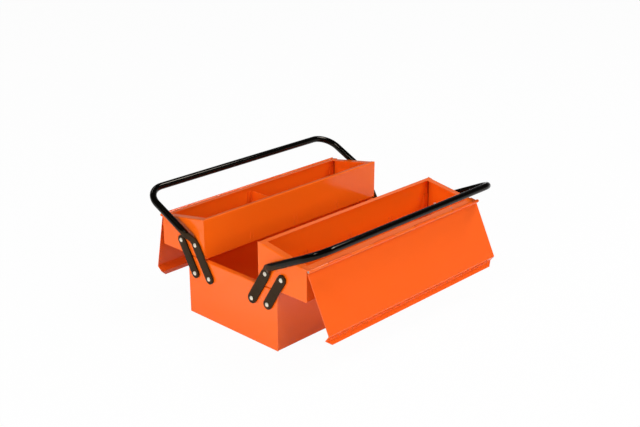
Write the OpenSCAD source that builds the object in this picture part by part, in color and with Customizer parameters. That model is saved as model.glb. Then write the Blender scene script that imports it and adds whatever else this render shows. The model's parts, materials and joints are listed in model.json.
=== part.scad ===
// Cantilever tool box: an open base with two trays on parallel links, drawn with the trays swung out
// and both lids hanging down outside. All sizes are millimetres. X runs along the box, Y across it,
// the front is -Y, +Z is up, and the origin is the middle of the underside of the base.

/* [Base] */
// Length of the sheet-metal body of the base and of each tray
body_length = 400; // [360:5:460]
// Width of the base
body_width = 200; // [195:1:210]
// Height of the base
base_height = 98; // [90:1:98]
// Width of the turned-in rim along the long walls
rim_width = 8; // [6:0.5:9]
// Width of the turned-in rim along the ends of the base
base_end_rim = 8; // [7:0.5:12]

/* [Sheet metal] */
// Thickness of the painted sheet
sheet = 1; // [0.8:0.1:1.1]
// Middle radius of each bend in the sheet
bend_radius = 1.3; // [1.1:0.1:2]
// Length of the welding tabs on the end panels
tab_length = 12; // [8:1:16]

/* [Trays] */
// Height of the inner wall of a tray
tray_inner_height = 66.5; // [62:0.5:68]
// Height of the outer wall of a tray
tray_outer_height = 49.4; // [46:0.2:52]
// Gap between the two trays when they are closed
tray_gap = 1; // [0.8:0.1:3]
// Width of the turned-in rim along the ends of a tray
tray_end_rim = 12; // [9:0.5:13]
// Spacing along the tray of the paired ribs that hold a divider
rib_pitch = 100; // [80:5:100]
// Height of the divider above the tray floor
divider_height = 41; // [30:1:44]
// Position of the middle of the divider along the tray
divider_x = -13.5; // [-85:0.5:-10]

/* [Linkage] */
// Distance between the two pivots of a link
link_length = 57; // [55:0.5:58]
// Angle of the links from upright with the trays open
link_swing = 31.8; // [30:0.2:32]
// Width of the flat links
link_width = 16; // [13:0.5:16]
// Thickness of the flat links
link_thickness = 2.6; // [2:0.1:3]
// Height of the pivots on the base
base_pivot_height = 72.5; // [72.4:0.1:74]
// Height of the pivots on a tray above its underside
tray_pivot_height = 21.2; // [19:0.1:21.2]
// Distance from the inner wall of a tray to its inner pivot
tray_pivot_inset = 18; // [16:0.5:20]
// Distance between the inner and the outer pivots
pivot_spacing = 33.3; // [32:0.1:35]

/* [Handles] */
// Diameter of the handle tube
tube_diameter = 11; // [9:0.5:12]
// Length of the flat lever from the tray pivot to its elbow
elbow_reach = 16.5; // [15:0.5:20]
// Angle between the flat lever and the arm
elbow_angle = 32.5; // [32:0.5:36]
// Length of the arm from the elbow to the grip
arm_length = 114.5; // [105:0.5:116]
// Bend radius between the arm and the grip
grip_bend = 33; // [25:1:35]
// Distance from the end panels to the middle of the tube of the arms
tube_standoff = 9.5; // [8:0.1:10]

/* [Lids] */
// Angle of the front lid from hanging straight down
front_lid_hang = 26.2; // [12:0.2:27]
// Angle of the rear lid from hanging straight down
rear_lid_hang = 11.6; // [11:0.2:27]
// Width of the flat panel of a lid, from the hinge axis to the upstand
lid_panel = 96.2; // [95:0.1:96.6]
// Length of the upstand along the free edge
lid_upstand = 11.6; // [9:0.2:13]
// Length of the lip on the upstand
lid_lip = 8.8; // [6:0.2:9]
// Bend from the panel to the upstand
upstand_bend = 63; // [60:1:66]
// Bend from the upstand to the lip
lip_bend = 73; // [70:1:76]
// Length cut off the ends of the lip on the slant
lip_chamfer = 10; // [6:0.5:12]

/* [Hinges] */
// Diameter of the hinge wire
wire_diameter = 3.5; // [3:0.1:3.5]
// Length of one knuckle
knuckle_pitch = 49; // [47:0.5:50]
// Length of the first knuckle, at the end where the wire is cut flush
first_knuckle = 40; // [36:1:43]
// Gap beside each knuckle
knuckle_gap = 1; // [0.6:0.1:1.6]

/* [Hidden] */

$fn = 48;
orange = "OrangeRed";
satin_black = "DarkSlateGray";
gloss_black = "Black";
bright_steel = "Silver";
bend_steps = 6;
elbow_steps = 10;
overlap = 0.5;

// Ends: the panels cover the ends of the folded bodies
end_x = body_length / 2;
body_run = body_length - 2 * sheet;
rim_joint = 0.2;
tab_edge = 12;

// Linkage, in a half section with w outwards from the middle and z up
swing_w = link_length * sin(link_swing);
swing_z = link_length * cos(link_swing);
base_pivot_w = tray_gap / 2 + tray_pivot_inset + swing_w;
tray_pivot_w = base_pivot_w + swing_w;
tray_pivot_z = base_pivot_height + swing_z;

// Tray section with the tray swung out
tray_depth = (body_width - tray_gap) / 2;
tray_inner_w = tray_pivot_w - tray_pivot_inset;
tray_outer_w = tray_inner_w + tray_depth;
tray_floor_z = tray_pivot_z - tray_pivot_height;
tray_inner_z = tray_floor_z + tray_inner_height;
tray_outer_z = tray_floor_z + tray_outer_height;
roof_angle = atan((tray_inner_height - tray_outer_height) / tray_depth);
roof_run = tray_depth / cos(roof_angle);
roof_out = [cos(roof_angle), -sin(roof_angle)];
roof_up = [sin(roof_angle), cos(roof_angle)];
roof_drop = sheet / 2 / cos(roof_angle);

// Divider and the paired ribs that hold it
rib_radius = 0.8;
rib_spread = 7;
rib_height = 17;
rib_base = 4.5;
groove_depth = 0.35;
divider_tab = 8;
divider_clearance = 0.3;

// Rivets, washers and the layers outside an end panel
rivet_radius = 2;
pivot_clearance = 0.05;
rivet_head_radius = 3.5;
rivet_head_height = 2;
rivet_tail_height = 1.2;
washer_radius = 5;
washer_height = 1;
layer_gap = 0.2;
link_x = end_x + washer_height + layer_gap;
rivet_head_x = link_x + link_thickness + layer_gap;
dome_radius = (pow(rivet_head_radius, 2) + pow(rivet_head_height, 2)) / (2 * rivet_head_height);
dome_angle = asin(rivet_head_radius / dome_radius);
dome_steps = 5;

// Handle tube: flattened into the levers, with the round arms standing further out than the levers
tube_radius = tube_diameter / 2;
tube_x = end_x + tube_standoff;
elbow_radius = 28;
flat_run = 1;
taper_run = 15;
taper_inset = 0.1;
taper_lap = 0.5;

// Hinge: the leaf lies on the outer rim of the tray, and the lid clears it when it is closed
wire_radius = wire_diameter / 2;
bore_radius = wire_radius + pivot_clearance;
knuckle_radius = bore_radius + sheet;
knuckle_standoff = 0.3;
hinge_w = tray_outer_w + knuckle_radius + knuckle_standoff;
hinge_z = tray_outer_z - 0.8;
leaf_width = 9;
leaf_setback = 0.2;
wire_head_radius = 2.4;
wire_head_length = 2.5;
wire_overhang = 3.5;
leaf_rivet_radius = 1.75;
leaf_rivet_inset = 4.5;
leaf_rivet_x = [-188, 140];
leaf_rivet_proud = 0.1;
leaf_rivet_grip = 1.2;
panel_offset = bore_radius + sheet / 2;
lid_notch = 3.4;
roll_opening = 40;

// Knuckle stations along the hinge: odd gaps between them belong to the tray, even ones to the lid
knuckle_ends = [
    end_x,
    end_x - first_knuckle,
    end_x - first_knuckle - knuckle_pitch,
    end_x - first_knuckle - 2 * knuckle_pitch,
    end_x - first_knuckle - 3 * knuckle_pitch,
    end_x - first_knuckle - 4 * knuckle_pitch,
    end_x - first_knuckle - 5 * knuckle_pitch,
    end_x - first_knuckle - 6 * knuckle_pitch,
    -end_x
];

// ---- Bent sheet ----

function unit(v) = v / norm(v);
function left_of(v) = [-v[1], v[0]];
function spin(v, a) = [v[0] * cos(a) - v[1] * sin(a), v[0] * sin(a) + v[1] * cos(a)];
function turn(u, v) = atan2(u[0] * v[1] - u[1] * v[0], u * v);

// Stations, each a middle-plane point and its normal, round one bend at p from direction u to v
function bend(p, u, v, r, steps) =
    let (a = turn(u, v))
    let (start = p - u * r * tan(abs(a) / 2))
    let (centre = start + left_of(u) * sign(a) * r)
    [for (k = [0:steps]) [centre + spin(start - centre, a * k / steps), left_of(spin(u, a * k / steps))]];

// Stations along a strip whose middle plane follows the corner points pts
function stations(pts, r, steps) =
    let (last = len(pts) - 1)
    let (dirs = [for (i = [0:last - 1]) unit(pts[i + 1] - pts[i])])
    concat(
        [[pts[0], left_of(dirs[0])]],
        [for (i = [1:last - 1]) each bend(pts[i], dirs[i - 1], dirs[i], r, steps)],
        [[pts[last], left_of(dirs[last - 1])]]
    );

// Outline of the strip, t thick
function strip_outline(pts, r, t, steps) =
    let (s = stations(pts, r, steps))
    concat(
        [for (q = s) q[0] + q[1] * t / 2],
        [for (i = [len(s) - 1:-1:0]) s[i][0] - s[i][1] * t / 2]
    );

// Draws a half-section (w, z) shape along X, centred, length long
module along_x(length) {
    rotate([90, 0, 90])
        linear_extrude(length, center = true)
            children();
}

// Bent sheet strip along X, with its middle plane through pts in the half section
module bent_strip(pts, length) {
    along_x(length)
        polygon(strip_outline(pts, bend_radius, sheet, bend_steps));
}

// Turns a rear unit into the front one
module facing(front) {
    rotate([0, 0, front ? 180 : 0])
        children();
}

// Cylinder along X from x to x + length
module rod_x(x, w, z, r, length) {
    translate([x, w, z])
        rotate([0, 90, 0])
            cylinder(r = r, h = length);
}

// ---- Base ----

module base_body() {
    half = body_width / 2;
    mid = sheet / 2;
    top = base_height - mid;
    color(orange)
        bent_strip([
            [rim_width - half, top], [mid - half, top], [mid - half, mid],
            [half - mid, mid], [half - mid, top], [half - rim_width, top]
        ], body_run);
}

// End panel of the base at the +X end
module base_end() {
    half = body_width / 2;
    rim_half = half - rim_width - rim_joint;
    mid = sheet / 2;
    top = base_height - mid;
    fold = 4;
    difference() {
        union() {
            rotate([90, 0, 0])
                linear_extrude(2 * rim_half, center = true)
                    polygon(strip_outline([
                        [end_x - base_end_rim, top], [end_x - mid, top], [end_x - mid, 0]
                    ], bend_radius, sheet, bend_steps));
            for (side = [-1, 1])
                translate([end_x - sheet, side > 0 ? rim_half - overlap : -half, 0])
                    cube([sheet, half - rim_half + overlap, base_height]);
            translate([end_x - sheet, -half, 0])
                cube([sheet, body_width, base_height - fold]);
            translate([end_x - sheet - tab_length, tab_edge - half, sheet])
                cube([tab_length + overlap, body_width - 2 * tab_edge, sheet]);
            for (side = [-1, 1])
                translate([end_x - sheet - tab_length, side * (half - 1.5 * sheet) - sheet / 2, tab_edge])
                    cube([tab_length + overlap, sheet, base_height - 2 * tab_edge]);
        }
        for (w = [base_pivot_w, base_pivot_w + pivot_spacing], side = [-1, 1])
            rod_x(end_x - 2 * sheet, side * w, base_pivot_height, rivet_radius, 3 * sheet);
    }
}

module base_end_left() {
    color(orange)
        facing(true)
            base_end();
}

module base_end_right() {
    color(orange)
        base_end();
}

// ---- Rivets and washers ----

// One pivot rivet through the panel at the +X end: tail inside, shank, domed head outside
module pivot_rivet(w, z) {
    tail_x = end_x - sheet - rivet_tail_height;
    rod_x(tail_x, w, z, rivet_head_radius, rivet_tail_height);
    rod_x(tail_x, w, z, rivet_radius, rivet_head_x - tail_x + overlap);
    translate([rivet_head_x, w, z])
        rotate([0, 90, 0])
            rotate_extrude()
                polygon(concat([[0, 0]], [
                    for (k = [0:dome_steps])
                        let (a = dome_angle * (1 - k / dome_steps))
                        [dome_radius * sin(a), rivet_head_height - dome_radius * (1 - cos(a))]
                ]));
}

module pivot_washer(w, z) {
    difference() {
        rod_x(end_x, w, z, washer_radius, washer_height);
        rod_x(end_x - overlap, w, z, rivet_radius + pivot_clearance, washer_height + 2 * overlap);
    }
}

// Puts its children at both ends of the box
module both_ends() {
    for (flip = [false, true])
        mirror([flip ? 1 : 0, 0, 0])
            children();
}

module base_rivets() {
    color(bright_steel)
        both_ends()
            for (w = [base_pivot_w, base_pivot_w + pivot_spacing], side = [-1, 1])
                pivot_rivet(side * w, base_pivot_height);
}

module base_washers() {
    color(satin_black)
        both_ends()
            for (w = [base_pivot_w, base_pivot_w + pivot_spacing], side = [-1, 1])
                pivot_washer(side * w, base_pivot_height);
}

module tray_rivets(front) {
    color(bright_steel)
        facing(front)
            both_ends()
                for (w = [tray_pivot_w, tray_pivot_w + pivot_spacing])
                    pivot_rivet(w, tray_pivot_z);
}

module tray_washers(front) {
    color(satin_black)
        facing(front)
            both_ends()
                for (w = [tray_pivot_w, tray_pivot_w + pivot_spacing])
                    pivot_washer(w, tray_pivot_z);
}

module front_tray_rivets() { tray_rivets(true); }
module rear_tray_rivets() { tray_rivets(false); }
module front_tray_washers() { tray_washers(true); }
module rear_tray_washers() { tray_washers(false); }

// ---- Trays ----

// Point on the top plane of the rims: run along the slope from the inner wall, rise above the plane
function roof_point(run, rise) = [tray_inner_w, tray_inner_z] + roof_out * run + roof_up * rise;

// Frame on the top plane of the rims: its Y runs down the slope, its Z stands off the plane
module on_roof() {
    translate([0, tray_inner_w, tray_inner_z])
        rotate([-roof_angle, 0, 0])
            children();
}

// The paired upright ribs that hold a divider, on the inside of both long walls
module divider_ribs(r, inset) {
    for (x = [-rib_pitch, 0, rib_pitch], pair = [-1, 1], w = [tray_inner_w + inset, tray_outer_w - inset])
        translate([x + pair * rib_spread / 2, w, tray_floor_z + rib_base])
            cylinder(r = r, h = rib_height, $fn = 24);
}

module tray_body(front) {
    mid = sheet / 2;
    color(orange)
        facing(front)
            difference() {
                union() {
                    bent_strip([
                        roof_point(rim_width, -mid),
                        [tray_inner_w + mid, tray_inner_z - mid * tan(roof_angle) - roof_drop],
                        [tray_inner_w + mid, tray_floor_z + mid],
                        [tray_outer_w - mid, tray_floor_z + mid],
                        [tray_outer_w - mid, tray_outer_z + mid * tan(roof_angle) - roof_drop],
                        roof_point(roof_run - rim_width, -mid)
                    ], body_run);
                    divider_ribs(rib_radius, sheet);
                }
                divider_ribs(rib_radius, groove_depth - rib_radius);
                for (x = leaf_rivet_x)
                    on_roof()
                        translate([-x, roof_run - leaf_rivet_inset, -3 * sheet])
                            cylinder(r = leaf_rivet_radius, h = 4 * sheet);
            }
}

module front_tray_body() { tray_body(true); }
module rear_tray_body() { tray_body(false); }

// End panel of a tray at the +X end of the rear unit
module tray_end() {
    mid = sheet / 2;
    fold = 3;
    rim_start = rim_width + rim_joint;
    rim_run = roof_run - 2 * rim_start;
    wall_top = tray_outer_height - tab_edge;
    difference() {
        union() {
            difference() {
                translate([end_x - mid, 0, 0])
                    along_x(sheet)
                        polygon([
                            [tray_inner_w, tray_floor_z], [tray_outer_w, tray_floor_z],
                            [tray_outer_w, tray_outer_z], [tray_inner_w, tray_inner_z]
                        ]);
                on_roof()
                    translate([end_x - 2 * sheet, rim_start, -fold])
                        cube([3 * sheet, rim_run, 2 * fold]);
            }
            on_roof()
                translate([0, rim_start + rim_run, 0])
                    rotate([90, 0, 0])
                        linear_extrude(rim_run)
                            polygon(strip_outline([
                                [end_x - tray_end_rim, -mid],
                                [end_x - mid, -mid],
                                [end_x - mid, -fold - overlap]
                            ], bend_radius, sheet, bend_steps));
            translate([end_x - sheet - tab_length, tray_inner_w + tab_edge, tray_floor_z + sheet])
                cube([tab_length + overlap, tray_depth - 2 * tab_edge, sheet]);
            for (w = [tray_inner_w + sheet, tray_outer_w - 2 * sheet])
                translate([end_x - sheet - tab_length, w, tray_floor_z + tab_edge])
                    cube([tab_length + overlap, sheet, wall_top - tab_edge]);
        }
        for (w = [tray_pivot_w, tray_pivot_w + pivot_spacing])
            rod_x(end_x - 2 * sheet, w, tray_pivot_z, rivet_radius, 3 * sheet);
    }
}

// right is true for the end at +X
module tray_end_at(front, right) {
    color(orange)
        facing(front)
            mirror([front == right ? 1 : 0, 0, 0])
                tray_end();
}

module front_tray_end_left() { tray_end_at(true, false); }
module front_tray_end_right() { tray_end_at(true, true); }
module rear_tray_end_left() { tray_end_at(false, false); }
module rear_tray_end_right() { tray_end_at(false, true); }

// Divider plate with a tab bent along each end, standing beside the middle pair of ribs
module rear_tray_divider() {
    inner = tray_inner_w + sheet + divider_clearance;
    outer = tray_outer_w - sheet - divider_clearance;
    mid = sheet / 2;
    left = divider_x - divider_tab / 2;
    right = divider_x + divider_tab / 2 - mid;
    color(orange)
        translate([0, 0, tray_floor_z + sheet])
            linear_extrude(divider_height)
                polygon(strip_outline([
                    [left, inner + mid], [right, inner + mid], [right, outer - mid], [left, outer - mid]
                ], bend_radius, sheet, bend_steps));
}

// ---- Hinges ----

// Puts its children at the middle of each knuckle; the first belongs to the tray
module each_knuckle(of_tray) {
    for (i = [0:len(knuckle_ends) - 2])
        if ((i % 2 == 0) == of_tray)
            translate([(knuckle_ends[i] + knuckle_ends[i + 1]) / 2, 0, 0])
                knuckle_room(abs(knuckle_ends[i] - knuckle_ends[i + 1]))
                    children();
}

// Passes the free length of one knuckle on to its children
module knuckle_room(room) {
    $knuckle = room - knuckle_gap;
    children();
}

// Rolled knuckle about the X axis, open over roll_opening degrees that start at angle from
module rolled_knuckle(from) {
    rotate([90, 0, 90])
        translate([0, 0, -$knuckle / 2])
            rotate([0, 0, from + roll_opening])
                rotate_extrude(angle = 360 - roll_opening)
                    translate([bore_radius, 0])
                        square([sheet, $knuckle]);
}

module hinge_leaf(front) {
    color(orange)
        facing(front)
            difference() {
                union() {
                    on_roof()
                        translate([-end_x, roof_run - leaf_width, 0])
                            cube([2 * end_x, leaf_width - leaf_setback, sheet]);
                    each_knuckle(true) {
                        on_roof()
                            translate([-$knuckle / 2, roof_run - leaf_width, 0])
                                cube([$knuckle, leaf_width + knuckle_radius, sheet]);
                        translate([0, hinge_w, hinge_z])
                            rolled_knuckle(190);
                    }
                }
                rod_x(-end_x, hinge_w, hinge_z, bore_radius, body_length);
                for (x = leaf_rivet_x)
                    on_roof()
                        translate([-x, roof_run - leaf_rivet_inset, -sheet])
                            cylinder(r = leaf_rivet_radius, h = 3 * sheet);
            }
}

module front_hinge_leaf() { hinge_leaf(true); }
module rear_hinge_leaf() { hinge_leaf(false); }

// Wire cut flush at one end and upset into a small head where it stands out at the other
module hinge_wire(front) {
    color(orange)
        facing(front) {
            rod_x(-end_x - wire_overhang, hinge_w, hinge_z, wire_radius, 2 * end_x + wire_overhang);
            rod_x(-end_x - wire_overhang, hinge_w, hinge_z, wire_head_radius, wire_head_length);
        }
}

module front_hinge_wire() { hinge_wire(true); }
module rear_hinge_wire() { hinge_wire(false); }

// Flush rivets through the leaf and the outer rim
module leaf_rivets(front) {
    color(bright_steel)
        facing(front)
            for (x = leaf_rivet_x)
                on_roof()
                    translate([-x, roof_run - leaf_rivet_inset, -sheet - leaf_rivet_grip]) {
                        cylinder(r = leaf_rivet_radius, h = 2 * sheet + leaf_rivet_grip + leaf_rivet_proud);
                        cylinder(r = leaf_rivet_radius + 1, h = leaf_rivet_grip);
                    }
}

module front_leaf_rivets() { leaf_rivets(true); }
module rear_leaf_rivets() { leaf_rivets(false); }

// ---- Lids ----

// Lid in its own frame: the hinge axis is X, the panel runs along +Y and its outer side is +Z
module lid_shell() {
    knee = [lid_panel, panel_offset];
    lip_start = knee + spin([lid_upstand, 0], upstand_bend);
    lip_end = lip_start + spin([lid_lip, 0], upstand_bend - lip_bend);
    difference() {
        union() {
            bent_strip([[0, panel_offset], knee, lip_start, lip_end], 2 * end_x);
            each_knuckle(false)
                rolled_knuckle(95 - roll_opening);
        }
        each_knuckle(true)
            translate([-$knuckle / 2 - knuckle_gap, -lid_notch, -2 * lid_notch])
                cube([$knuckle + 2 * knuckle_gap, 2 * lid_notch, 4 * lid_notch]);
        for (side = [-1, 1])
            lip_end_cut(side);
        rod_x(-end_x, 0, 0, bore_radius, body_length);
    }
}

// Slanting cut across the end of the lip, square to the lip
module lip_end_cut(side) {
    knee = [lid_panel, panel_offset];
    lip_start = knee + spin([lid_upstand, 0], upstand_bend);
    translate([side * end_x, lip_start[0], lip_start[1]])
        rotate([upstand_bend - lip_bend, 0, 0])
            linear_extrude(4 * sheet, center = true)
                polygon([
                    [side * overlap, -overlap], [0, 0], [-side * lip_chamfer, lid_lip + overlap],
                    [side * overlap, lid_lip + overlap]
                ]);
}

// Lid turned out until its panel hangs at the angle hang from straight down
module lid(front, hang) {
    color(orange)
        facing(front)
            translate([0, hinge_w, hinge_z])
                rotate([hang - 90, 0, 0])
                    mirror([0, 0, 1])
                        lid_shell();
}

module front_lid() { lid(true, front_lid_hang); }
module rear_lid() { lid(false, rear_lid_hang); }

// ---- Links and handles ----

// Puts its children on the base pivot at w, leaning outwards with the open linkage
module leaning(w) {
    translate([0, w, base_pivot_height])
        rotate([-link_swing, 0, 0])
            children();
}

// Holes for the two pivots of a link that stands on the X axis
module link_bores() {
    for (z = [0, link_length])
        rod_x(link_x - overlap, 0, z, rivet_radius + pivot_clearance, link_thickness + 2 * overlap);
}

// Short outer link at the +X end
module outer_link() {
    leaning(base_pivot_w + pivot_spacing)
        difference() {
            translate([link_x + link_thickness / 2, 0, 0])
                along_x(link_thickness)
                    union() {
                        translate([-link_width / 2, 0])
                            square([link_width, link_length]);
                        circle(d = link_width);
                        translate([0, link_length])
                            circle(d = link_width);
                    }
            link_bores();
        }
}

module link_at(front, right) {
    color(satin_black)
        facing(front)
            mirror([front == right ? 1 : 0, 0, 0])
                outer_link();
}

module front_link_left() { link_at(true, false); }
module front_link_right() { link_at(true, true); }
module rear_link_left() { link_at(false, false); }
module rear_link_right() { link_at(false, true); }

// Puts its children at the elbow, with Z along the arm
module along_arm() {
    translate([0, 0, link_length + elbow_reach])
        rotate([-elbow_angle, 0, 0])
            children();
}

// Half of a handle at +X: flat lever with its elbow, taper to the round tube, arm and corner bend
module handle_half() {
    straight_end = arm_length - grip_bend;
    arm_dir = [sin(elbow_angle), cos(elbow_angle)];
    elbow = [0, link_length + elbow_reach];
    tangent = elbow_radius * tan(elbow_angle / 2);
    flat_end = tangent + flat_run;
    taper_end = flat_end + taper_run;
    difference() {
        translate([link_x + link_thickness / 2, 0, 0])
            along_x(link_thickness)
                union() {
                    polygon(strip_outline(
                        [[0, 0], elbow, elbow + arm_dir * flat_end],
                        elbow_radius, link_width, elbow_steps));
                    circle(d = link_width);
                }
        link_bores();
    }
    along_arm() {
        intersection() {
            translate([0, link_width / 2 - taper_inset, 0])
                rotate([90, 0, 0])
                    linear_extrude(link_width - 2 * taper_inset)
                        polygon([
                            [link_x + taper_inset, flat_end - taper_lap],
                            [link_x + link_thickness - taper_inset, flat_end - taper_lap],
                            [tube_x + tube_radius + taper_lap, taper_end + taper_lap],
                            [tube_x - tube_radius - taper_lap, taper_end + taper_lap]
                        ]);
            translate([tube_x, 0, flat_end - taper_lap])
                cylinder(
                    r1 = norm([tube_x - link_x, link_width / 2]),
                    r2 = tube_radius - taper_inset,
                    h = taper_run + 2 * taper_lap);
        }
        translate([tube_x, 0, taper_end])
            cylinder(r = tube_radius, h = straight_end - taper_end);
        translate([tube_x - grip_bend, 0, straight_end])
            rotate([90, 0, 0])
                rotate_extrude(angle = 90)
                    translate([grip_bend, 0])
                        circle(r = tube_radius);
    }
}

module handle(front) {
    grip_run = tube_x - grip_bend;
    color(gloss_black)
        facing(front)
            leaning(base_pivot_w)
                union() {
                    both_ends()
                        handle_half();
                    along_arm()
                        rod_x(-grip_run, 0, arm_length, tube_radius, 2 * grip_run);
                }
}

module front_handle() { handle(true); }
module rear_handle() { handle(false); }

base_body();
base_end_left();
base_end_right();
base_rivets();
base_washers();
front_tray_body();
front_tray_end_left();
front_tray_end_right();
front_hinge_leaf();
front_hinge_wire();
front_leaf_rivets();
front_tray_rivets();
front_tray_washers();
front_lid();
front_handle();
front_link_left();
front_link_right();
rear_tray_body();
rear_tray_end_left();
rear_tray_end_right();
rear_tray_divider();
rear_hinge_leaf();
rear_hinge_wire();
rear_leaf_rivets();
rear_tray_rivets();
rear_tray_washers();
rear_lid();
rear_handle();
rear_link_left();
rear_link_right();
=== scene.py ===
"""Cantilever tool box: sheet-metal base, two trays on flat links, lids on rolled hinges, tube handles."""
import json
import logging
import math
from collections.abc import Callable, Iterable, Sequence
from dataclasses import dataclass, field, replace
from enum import Enum

import bmesh
import bpy
from mathutils import Matrix, Vector


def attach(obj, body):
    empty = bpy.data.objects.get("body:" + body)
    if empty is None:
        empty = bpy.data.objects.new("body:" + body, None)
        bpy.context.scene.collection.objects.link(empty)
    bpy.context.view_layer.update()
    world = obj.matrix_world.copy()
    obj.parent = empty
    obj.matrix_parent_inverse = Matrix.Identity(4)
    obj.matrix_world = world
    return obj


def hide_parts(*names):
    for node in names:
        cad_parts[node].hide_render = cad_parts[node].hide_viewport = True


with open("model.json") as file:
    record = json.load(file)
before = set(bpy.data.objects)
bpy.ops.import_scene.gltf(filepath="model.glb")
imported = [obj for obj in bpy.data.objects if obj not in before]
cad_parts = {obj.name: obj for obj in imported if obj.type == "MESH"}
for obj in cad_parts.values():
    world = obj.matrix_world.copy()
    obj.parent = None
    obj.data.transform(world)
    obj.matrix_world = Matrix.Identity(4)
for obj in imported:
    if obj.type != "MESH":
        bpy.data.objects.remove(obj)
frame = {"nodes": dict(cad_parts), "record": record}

LOG = logging.getLogger("tool_box")
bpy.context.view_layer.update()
MM = 0.001
QUARTER = math.radians(90)
CREASE = math.radians(35)


# ---- Named options ----


class Side(Enum):
    """The two swinging halves of the box, with the sign of their direction along Y."""

    FRONT = -1
    REAR = 1

    @property
    def word(self) -> str:
        """The side's name in lower case, as node and body names start."""
        return self.name.lower()


class End(Enum):
    """The two ends of the box, with the sign of their direction along X."""

    LEFT = -1
    RIGHT = 1

    @property
    def word(self) -> str:
        """The end's name in lower case, as node and body names end."""
        return self.name.lower()


# ---- Sizes that several sub-assemblies share ----


@dataclass(frozen=True)
class Linkage:
    """Where the pivots are with the trays swung out, in millimetres in a half section."""

    sheet: float = 1.0
    end_x: float = 200.0
    washer: float = 1.0
    gap: float = 0.2
    link_length: float = 57.0
    link_swing: float = math.radians(31.8)
    link_width: float = 16.0
    link_thickness: float = 2.6
    bore_radius: float = 2.05
    base_pivot_z: float = 72.5
    pivot_spacing: float = 33.3
    tray_gap: float = 1.0
    tray_pivot_inset: float = 18.0
    tray_pivot_height: float = 21.2
    tray_depth: float = 99.5
    tray_inner_height: float = 66.5
    tray_outer_height: float = 49.4

    @property
    def link_x(self) -> float:
        """Inner face of the flat links."""
        return self.end_x + self.washer + self.gap

    @property
    def swing_w(self) -> float:
        """Sideways travel of a link from upright."""
        return self.link_length * math.sin(self.link_swing)

    @property
    def base_pivot_w(self) -> float:
        """Distance of the inner base pivot from the middle."""
        return self.tray_gap / 2 + self.tray_pivot_inset + self.swing_w

    @property
    def tray_pivot_w(self) -> float:
        """Distance of the inner tray pivot from the middle."""
        return self.base_pivot_w + self.swing_w

    @property
    def tray_pivot_z(self) -> float:
        """Height of the tray pivots."""
        return self.base_pivot_z + self.link_length * math.cos(self.link_swing)

    @property
    def tray_inner_w(self) -> float:
        """Inner face of a tray."""
        return self.tray_pivot_w - self.tray_pivot_inset

    @property
    def tray_outer_w(self) -> float:
        """Outer face of a tray."""
        return self.tray_inner_w + self.tray_depth

    @property
    def tray_floor_z(self) -> float:
        """Underside of a tray."""
        return self.tray_pivot_z - self.tray_pivot_height

    @property
    def tray_inner_z(self) -> float:
        """Height of a tray's inner top edge."""
        return self.tray_floor_z + self.tray_inner_height

    @property
    def roof_run(self) -> float:
        """Length of the slope from a tray's inner to its outer top edge."""
        return self.tray_depth / math.cos(self.roof_angle)

    @property
    def roof_angle(self) -> float:
        """Slope of a tray's rims, falling outwards."""
        return math.atan((self.tray_inner_height - self.tray_outer_height) / self.tray_depth)


LINKAGE = Linkage()


# ---- Shader nodes ----

Node = bpy.types.Node
Socket = bpy.types.NodeSocket
Colour = tuple[float, float, float]
Point = tuple[float, float]
Value = Socket | float


class NodeSheet:
    """A node tree with short calls to add nodes and join sockets."""

    def __init__(self, tree: bpy.types.NodeTree) -> None:
        """Wraps tree."""
        self.tree = tree

    def add(self, kind: str, values: dict[str | int, object] | None = None,
            **settings: object) -> Node:
        """Adds a node.

        Args:
            kind: the node's type name without its ShaderNode or Node prefix.
            values: socket name or number to its default value.
            settings: attributes of the node itself.

        Returns:
            The new node.
        """
        prefix = "Node" if kind.startswith("Group") and kind != "Group" else "ShaderNode"
        node = self.tree.nodes.new(prefix + kind)
        for key, value in settings.items():
            setattr(node, key, value)
        for key, value in (values or {}).items():
            node.inputs[key].default_value = value
        return node

    def join(self, source: Socket, target: Socket) -> None:
        """Links an output socket to an input socket."""
        self.tree.links.new(source, target)

    def feed(self, value: object, target: Socket) -> None:
        """Links a socket to an input socket, or sets the input to a plain value.

        Args:
            value: a socket or a plain value.
            target: the input socket.
        """
        if isinstance(value, Socket):
            self.join(value, target)
        else:
            target.default_value = value

    def maths(self, operation: str, first: Value, second: Value = 0.0, clamp: bool = False) -> Socket:
        """Adds a Math node.

        Args:
            operation: the node's operation.
            first: a socket or a number.
            second: a socket or a number.
            clamp: whether the result is held from 0 to 1.

        Returns:
            The result's socket.
        """
        node = self.add("Math", operation=operation, use_clamp=clamp)
        for socket, value in zip(node.inputs, (first, second)):
            self.feed(value, socket)
        return node.outputs[0]

    def mix_colour(self, factor: Value, first: Socket, second: Colour) -> Socket:
        """Adds a colour Mix node.

        Args:
            factor: a socket or a number.
            first: the socket shown at factor 0.
            second: the plain colour shown at factor 1.

        Returns:
            The mixed colour's socket.
        """
        node = self.add("Mix", data_type="RGBA")
        for number, value in ((0, factor), (6, first), (7, (*second, 1.0))):
            self.feed(value, node.inputs[number])
        return node.outputs[2]

    def ramp(self, source: Socket, low: float, high: float,
             to_low: float = 0.0, to_high: float = 1.0) -> Socket:
        """Adds a Map Range node that is held at its ends.

        Args:
            source: the value to map.
            low: value that becomes to_low.
            high: value that becomes to_high.
            to_low: result at and beyond low.
            to_high: result at and beyond high.

        Returns:
            The mapped value's socket.
        """
        node = self.add("MapRange", {1: low, 2: high, 3: to_low, 4: to_high}, clamp=True)
        self.join(source, node.inputs[0])
        return node.outputs[0]


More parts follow.
